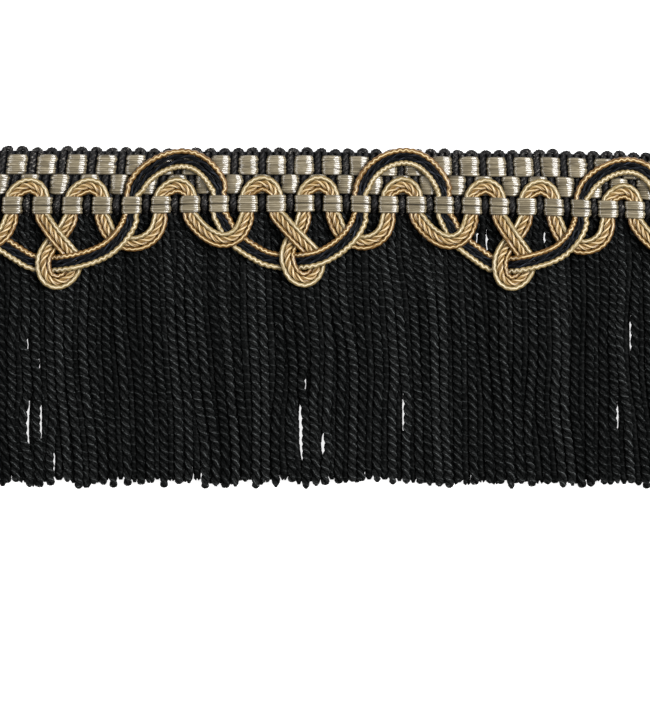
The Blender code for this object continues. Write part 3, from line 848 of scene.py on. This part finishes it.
def besideRoute(route, across, wave, spreads):
    # the line of one cord of a gimp, drawn in where a satin block holds the gimp down
    line = []
    length = 0.0
    held = gimps["heldWidth"] / gimps["fullWidth"]
    for i, centre in enumerate(route):
        length += (centre - route[max(i - 1, 0)]).length
        ahead = route[min(i + 1, len(route) - 1)] - route[max(i - 1, 0)]
        right = Vector((ahead.y, -ahead.x, 0.0)).normalized()
        drop = heading["rowLine"] + lieAt(centre.x) - centre.y
        full = 1.0
        if spreads and drop < 0:
            full = atPlace("archSpread", centre.x)
        squeeze = smoothStep(held, full, (abs(drop) - gimps["heldDrop"]) / gimps["widenDrop"])
        swing = wave * math.sin(math.tau * length / gimps["waveLength"])
        line.append(centre + right * (across * squeeze + swing))
    return line


def makeGimps():
    materials = {key: yarnMaterial(key + "RayonGimpCord", yarn) for key, yarn in gimps["yarns"].items()}
    for bandName, band in gimps["bands"].items():
        route = gimpRoute(band["route"])
        for name, (yarn, places, changes) in band["cords"].items():
            cord = {**gimps["edgeCord"], **changes}
            lines = []
            for i, across in enumerate(places):
                points = besideRoute(route, across, cord["wave"], band["spreads"])
                lines.append(makeLine(points, cord["phase"] + i * gimps["phaseStep"], gimps["tone"]))
            piece = growCords(name, lines, cord, materials[yarn])
            finishPiece(piece, bandName, bandName)


makeGimps()


# Skirt: twisted cords with looped ends, a front layer side by side in ones and twos and a back layer behind

skirt = {
    "solidPitch": 1.59,  # the solids' cords, which say how far each end reaches
    "rootDrop": 4.05,  # drop of the root strip's lower edge
    "start": -1.6,  # the cords start under the lowest satin row
    "drop": 63.0,
    "dropJitter": 1.2,
    "evenness": 0.7,  # the ends differ by this share of what those of the solids do
    "endsHigher": 0.2,  # and end this far above them
    "solidRings": 8,  # the solids draw one more number for each of a cord's rings
    "backShort": (0.5, 1.2),  # how much shorter the cords behind are
    "endSeed": 5,
    "seed": 21,
    "frontCords": 59,
    "beside": 2.1,  # spacing of two front cords that touch
    "parted": 3.3,  # and of two with a dark gap between them
    "besideJitter": (-0.08, 0.1),
    "partedJitter": 0.3,
    "partedShare": 0.5,  # share of the gaps that start as dark ones
    "thirdDiffers": 0.8,  # and how often a gap after two alike is made unlike them
    "changeShare": 0.7,  # share of the gaps that open or close on the way down
    "changeAt": (8.0, 50.0),  # distance from the root where they do
    "changeLength": 16.0,
    "evenOver": 6,  # cords on each side over which the spacing evens out
    "settle": 7.0,  # distance over which the cords find their places
    "lean": math.radians(2.4),
    "sway": 0.4,
    "swayLength": 52.0,
    "swayShift": 0.02,  # turns from one cord to the next
    "rootHeight": 0.85,
    "rootGirth": 0.9,
    "backHeight": 1.1,
    "frontHeights": (1.7, 2.0),  # under the gimps and below them
    "gimpsReach": (13.0, 20.0),
    "wave": 0.1,  # how far a cord rises and sinks along its length
    "waveLength": 8.0,  # length of one radian of that
    "waveShift": 6.0,  # and how far the cords are out of step in it, in radians
    "stations": 44,
    "layDrift": 0.08,  # how much the twist differs from cord to cord
    "layWobble": 0.15,  # and how far it runs ahead or behind along a cord, in turns
    "wobbleLength": 19.0,
    "wobbleShift": 9.0,
    "kinked": 0.15,  # share of the cords that end in a narrow kinked loop
    "kinkedGirth": (0.9, 0.88),
    "kinkedSpread": (0.8, 0.7),
    "cords": {
        "skirtBack": {
            **plainCord, "lay": 4.05, "step": 0.6, "plyRadius": 0.53, "twistWidth": 0.47,
            "twistHeight": 0.35, "flatten": 1.85, "plies": 2, "endLoop": 1.1,
        },
        "skirtFront": {
            **plainCord, "lay": 4.05, "step": 0.48, "plyRadius": 0.54, "twistWidth": 0.5,
            "twistHeight": 0.48, "flatten": 1.15, "plies": 2, "endLoop": 1.1,
        },
    },
    "backGirths": (0.95, 1.9),  # a back cord is as thick as the gap before it is wide, between these
    "overlap": 0.5,  # half width of a front cord where it is narrowest, less a little
    "slitFrom": 1.9,  # distance of a front and a back cord at which the floor starts to show
    "gapCords": 6,  # cords on each side of a gap that make way for it
    "gapFade": 2.5,  # and how soon, in cords, they do so less
    "gapReach": 6.0,  # how far above and below the gap they still bend
    # tone of each cord, at random in these ranges: the back cords are kept dark as painted shade for the
    # front cords' shadow, which also dims their painted highlights
    "tonesWithBackShade": {"skirtBack": (0.1, 0.35), "skirtFront": (0.3, 1.0)},
    # Viscose bullion cord: soft black plies, with a thin grey painted highlight along each turn.
    "yarn": {
        "shades": ("#070808", "#0e0f0f", "#252626"), "reach": (0.38, 0.66),
        "weights": (4, 0.5, 0.3, 1.0), "line": "#656969", "lineFrom": 0.986, "breakScale": (1.3, 1.3, 1.3),
        "breaks": (0.42, 0.6), "swing": 0.35, "swingLength": 1.9, "roughness": 0.5, "specular": 0.035,
        "strands": 4, "strandPitch": 3.0, "strandRelief": 0.8, "relief": 0.04, "bump": 0.6,
        "fibreScale": (2.1, 2.1, 3.2),
    },
    # where the floor shows between two cords: X, distances from the root where it opens and closes, width
    "gaps": (
        (-67.2, 26.0, 28.9, 0.15), (-64.9, 30.1, 33.2, 0.2), (-66.7, 40.4, 50.3, 0.45),
        (-64.0, 40.4, 48.3, 0.4), (-61.1, 51.4, 55.7, 0.3), (-10.5, 49.6, 53.9, 0.02),
        (-5.6, 40.6, 54.1, 0.7), (-4.7, 35.2, 38.2, 0.15), (-0.9, 48.1, 52.8, 0.6),
        (17.1, 39.1, 46.7, 0.25), (34.0, 2.1, 5.9, 0.3), (35.8, 2.6, 6.1, 0.3),
        (48.8, 2.2, 4.4, 0.2), (65.5, 39.3, 45.6, 0.55), (68.0, 20.6, 28.9, 0.25),
    ),
}


def skirtReaches():
    # distance from the root to where the cords end, over each of the solids' cords
    chance = random.Random(skirt["endSeed"])
    reaches = []
    for number in range(int((rightEnd - leftEnd) / skirt["solidPitch"])):
        x = leftEnd + (number + 0.5) * skirt["solidPitch"]
        jitter = chance.uniform(-1, 1) * skirt["dropJitter"] * skirt["evenness"]
        reaches.append(skirt["drop"] + jitter - skirt["endsHigher"] - skirt["rootDrop"] + lieAt(x))
        for i in range(skirt["solidRings"]):
            chance.random()
    return reaches


def skirtPlaces(stations, chance):
    # X of each cord at each station, front cords at even numbers and back cords between them
    count = skirt["frontCords"]
    numbers = np.arange(count)[:, None]
    spacing = np.zeros((count - 1, len(stations)))
    runs = []
    for gap in range(count - 1):
        parted = chance.random() < skirt["partedShare"]
        if len(runs) > 1 and runs[-1] == runs[-2] and chance.random() < skirt["thirdDiffers"]:
            parted = not runs[-1]
        runs.append(parted)
        change = np.zeros(len(stations))
        if chance.random() < skirt["changeShare"]:
            turnAt = chance.uniform(*skirt["changeAt"])
            length = skirt["changeLength"]
            change = np.array([smoothStep(0.0, 1.0, (d - turnAt) / length + 0.5) for d in stations])
        share = parted * (1 - change) + (1 - parted) * change
        width = skirt["parted"] + chance.uniform(-skirt["partedJitter"], skirt["partedJitter"])
        narrow = skirt["beside"] + chance.uniform(*skirt["besideJitter"])
        spacing[gap] = narrow + (width - skirt["beside"]) * share
    settled = np.array([smoothStep(0.0, 1.0, d / skirt["settle"]) for d in stations])
    places = np.vstack([np.zeros(len(stations)), np.cumsum(spacing, axis=0)])
    drift = places - numbers * places[-1] / (count - 1)
    reach = skirt["evenOver"]
    padded = np.pad(drift, ((reach, reach), (0, 0)), mode="edge")
    smooth = np.array([padded[i:i + 2 * reach + 1].mean(axis=0) for i in range(count)])
    pitch = (rightEnd - leftEnd) / count
    front = leftEnd + (numbers + 0.5) * pitch + (drift - smooth) * settled
    sway = stations / skirt["swayLength"] + numbers * skirt["swayShift"]
    front = front + math.tan(skirt["lean"]) * stations + skirt["sway"] * np.sin(math.tau * sway) * settled
    x = np.zeros((2 * count - 1, len(stations)))
    x[::2] = front
    x[1::2] = (front[1:] + front[:-1]) / 2
    back = skirt["cords"]["skirtBack"]
    backGirth = ((front[1:] - front[:-1]) / 2 - skirt["overlap"]) / (back["plyRadius"] * back["flatten"])
    for place, opens, closes, width in skirt["gaps"]:
        # the cords bend apart round the gap, which is widest at its middle and pointed at its ends
        middle = (opens + closes) / 2
        column = int(np.argmin(np.abs(stations - middle)))
        left = int(np.searchsorted(x[:, column], place)) - 1
        needed = skirt["slitFrom"] + width * (1 - ((stations - middle) / (closes - opens) * 2) ** 4)
        shift = place - (x[left] + x[left + 1]) / 2
        opening = np.maximum(needed - (x[left + 1] - x[left]), 0.0)
        follow = np.exp(-((stations - middle) / (closes - opens + skirt["gapReach"])) ** 2)
        for cord in range(max(left - skirt["gapCords"], 0), min(left + 2 + skirt["gapCords"], len(x))):
            away = abs(cord - left - 0.5) - 0.5
            side = 1 if cord > left else -1
            x[cord] += (side * opening / 2 + shift * follow) * math.exp(-away / skirt["gapFade"])
    return x, np.clip(backGirth, *skirt["backGirths"])


def makeSkirt():
    reaches = skirtReaches()
    chance = random.Random(skirt["seed"])
    stations = np.linspace(skirt["start"], max(reaches), skirt["stations"])
    places, backGirth = skirtPlaces(stations, chance)
    lines = {"skirtBack": [], "skirtFront": []}
    for number in range(len(places)):
        behind = number % 2 == 1
        layer = "skirtBack" if behind else "skirtFront"
        cord = skirt["cords"][layer]
        rootX = places[number][0]
        root = onHeading(rootX, skirt["rootDrop"], 0.0)
        solid = min(int((rootX - leftEnd) / skirt["solidPitch"]), len(reaches) - 1)
        reach = reaches[solid] - (chance.uniform(*skirt["backShort"]) if behind else 0.0)
        kinked = chance.random() < skirt["kinked"]
        wobble = chance.uniform(-1, 1)
        distances = np.linspace(skirt["start"], reach, skirt["stations"])
        points = []
        girth = []
        spread = []
        for distance in distances:
            across = np.interp(distance, stations, places[number])
            settled = smoothStep(0.0, 1.0, distance / skirt["settle"])
            height = skirt["backHeight"]
            if not behind:
                height = float(np.interp(distance, skirt["gimpsReach"], skirt["frontHeights"]))
            height += skirt["wave"] * math.sin(distance / skirt["waveLength"] + skirt["waveShift"] * wobble)
            height = skirt["rootHeight"] + (height - skirt["rootHeight"]) * settled
            spread.append(skirt["rootGirth"] + (1 - skirt["rootGirth"]) * settled)
            girth.append(spread[-1])
            if behind:
                girth[-1] *= float(np.interp(distance, stations, backGirth[number // 2]))
            floorHeight = cord["plyRadius"] * girth[-1] + cord["twistHeight"] * spread[-1]
            points.append(Vector((across, root.y - distance, max(height, floorHeight))))
        if kinked:
            girth[-2:] = skirt["kinkedGirth"]
            spread[-2:] = skirt["kinkedSpread"]
        # a random tone, low for the back cords as painted shade
        tone = chance.uniform(*skirt["tonesWithBackShade"][layer])
        phase = chance.random()
        drift = chance.uniform(-1, 1) * skirt["layDrift"] / cord["lay"]
        phases = [
            phase + drift * distance + skirt["layWobble"] * math.sin(
                distance * math.tau / skirt["wobbleLength"] + skirt["wobbleShift"] * phase)
            for distance in distances
        ]
        lines[layer].append(makeLine(points, phases, tone, girth, spread))
    material = yarnMaterial("blackViscoseBullion", skirt["yarn"])
    for name in lines:
        piece = growCords(name, lines[name], skirt["cords"][name], material)
        finishPiece(piece, "bullion_cord", "bullion_skirt")


makeSkirt()


# Floor and light

studio = {  # metres and watts
    "floorSize": 3.0,
    "floorColour": "#f4f4f2",
    "floorRoughness": 0.9,
    "floorGlow": 0.85,  # the floor glows as a light table does, so that hardly a shadow shows on it
    "worldStrength": 0.22,
    # power, size and place
    "lights": {"key": (52.0, 1.0, (1.25, 0.42, 1.5)), "fill": (9.0, 0.8, (-1.3, 0.1, 0.8))},
}


def makeStudio():
    scene = bpy.context.scene
    white = (1.0, 1.0, 1.0, 1.0)
    side = studio["floorSize"] / 2
    corners = [(-side, -side, 0), (side, -side, 0), (side, side, 0), (-side, side, 0)]
    mesh = bpy.data.meshes.new("floor")
    mesh.from_pydata(corners, [], [(0, 1, 2, 3)])
    material, shader = addMaterial("palePaper")
    feed(shader, {
        "Base Color": linearColour(studio["floorColour"]), "Roughness": studio["floorRoughness"],
        "Emission Color": white, "Emission Strength": studio["floorGlow"],
    })
    mesh.materials.append(material)
    floor = addObject("floor", mesh)
    world = bpy.data.worlds.new("softRoom")
    world.use_nodes = True
    feed(world.node_tree.nodes["Background"], {"Color": white, "Strength": studio["worldStrength"]})
    scene.world = world
    for name, (power, size, place) in studio["lights"].items():
        light = bpy.data.lights.new(name, "AREA")
        light.energy = power
        light.size = size
        lamp = addObject(name, light)
        lamp.location = place
        lamp.rotation_euler = (-lamp.location).to_track_quat("-Z", "Y").to_euler()
    scene.view_settings.view_transform = "Standard"
    print("floor and light placed")


makeStudio()
